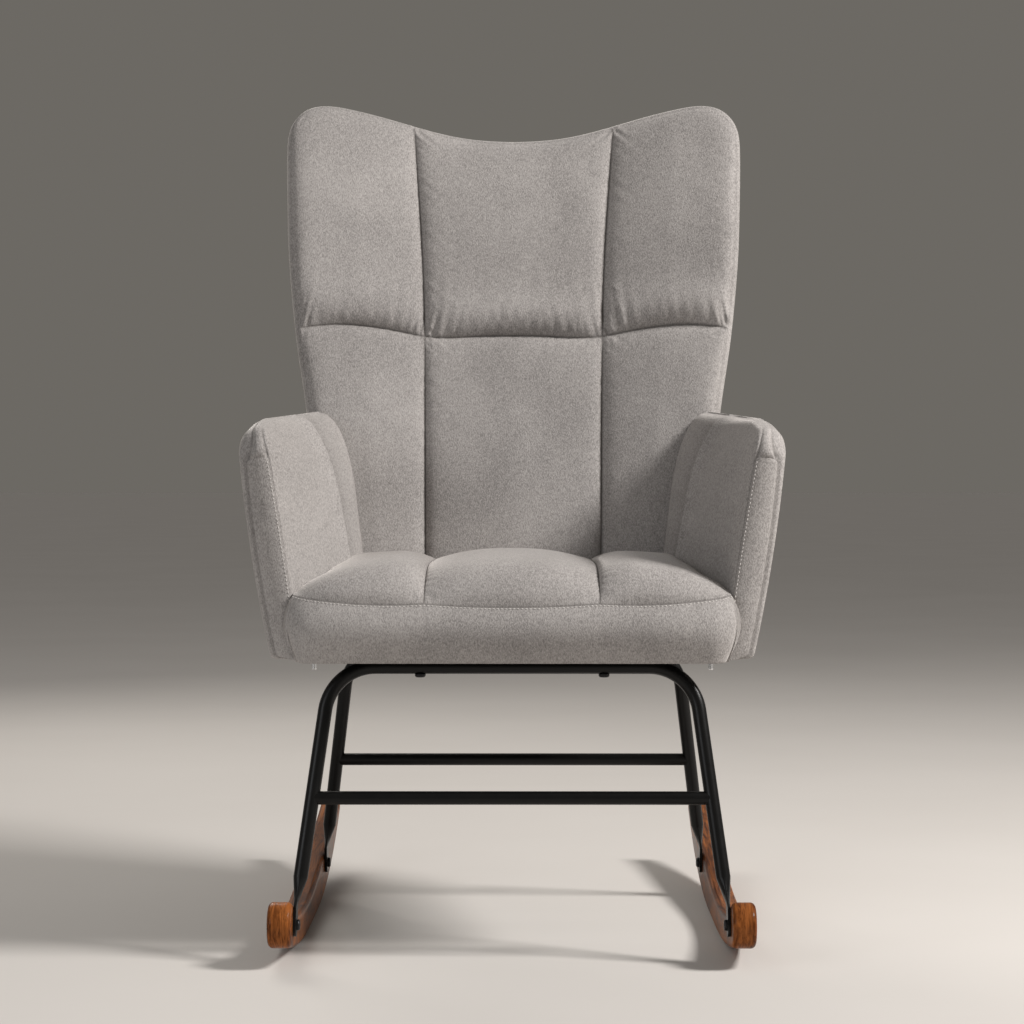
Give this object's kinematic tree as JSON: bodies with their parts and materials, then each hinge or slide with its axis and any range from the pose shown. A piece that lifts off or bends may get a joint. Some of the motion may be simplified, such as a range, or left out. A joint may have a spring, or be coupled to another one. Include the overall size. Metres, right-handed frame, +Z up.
{
  "type": "rocking chair",
  "caption": "High-backed upholstered rocking chair with winged back and padded arms, on bent-tube leg frames and curved wooden rockers.",
  "frame": {"origin": "on the floor, in the middle of the chair's box, between the rockers", "axes": "the chair faces -Y; +X is to the left of someone sitting in it; +Z is up"},
  "size_m": [0.647, 0.79, 1.085],
  "materials": {
    "upholstery": "matte",
    "foam": "matte",
    "dust_cloth": "matte",
    "rocker_wood": "satin",
    "plywood": "matte",
    "black_steel": "satin",
    "dark_bolts": "satin",
    "zinc": "satin"
  },
  "bodies": {
    "root": {"left_rocker": "rocker_wood", "right_rocker": "rocker_wood", "front_leg_frame": "black_steel", "rear_leg_frame": "black_steel", "front_crossbar": "black_steel", "rear_crossbar": "black_steel", "rocker_bolts": "dark_bolts", "rocker_inserts": "zinc", "seat_board": "plywood", "seat_front_rail": "plywood", "seat_rear_rail": "plywood", "seat_foam": "foam", "seat_cover": "upholstery", "seat_dust_cover": "dust_cloth", "seat_bolts": "dark_bolts", "seat_tee_nuts": "zinc", "left_arm_rail": "plywood", "right_arm_rail": "plywood", "left_arm_panel": "plywood", "right_arm_panel": "plywood", "left_arm_foam": "foam", "right_arm_foam": "foam", "left_arm_cover": "upholstery", "right_arm_cover": "upholstery", "left_arm_plate": "black_steel", "right_arm_plate": "black_steel", "arm_plate_screws": "zinc", "arm_studs": "zinc", "arm_nuts": "zinc", "arm_washers": "zinc", "back_board": "plywood", "back_foam": "foam", "back_cover": "upholstery", "back_bolts": "zinc", "back_washers": "zinc", "back_tee_nuts": "zinc"}
  },
  "joints": []
}
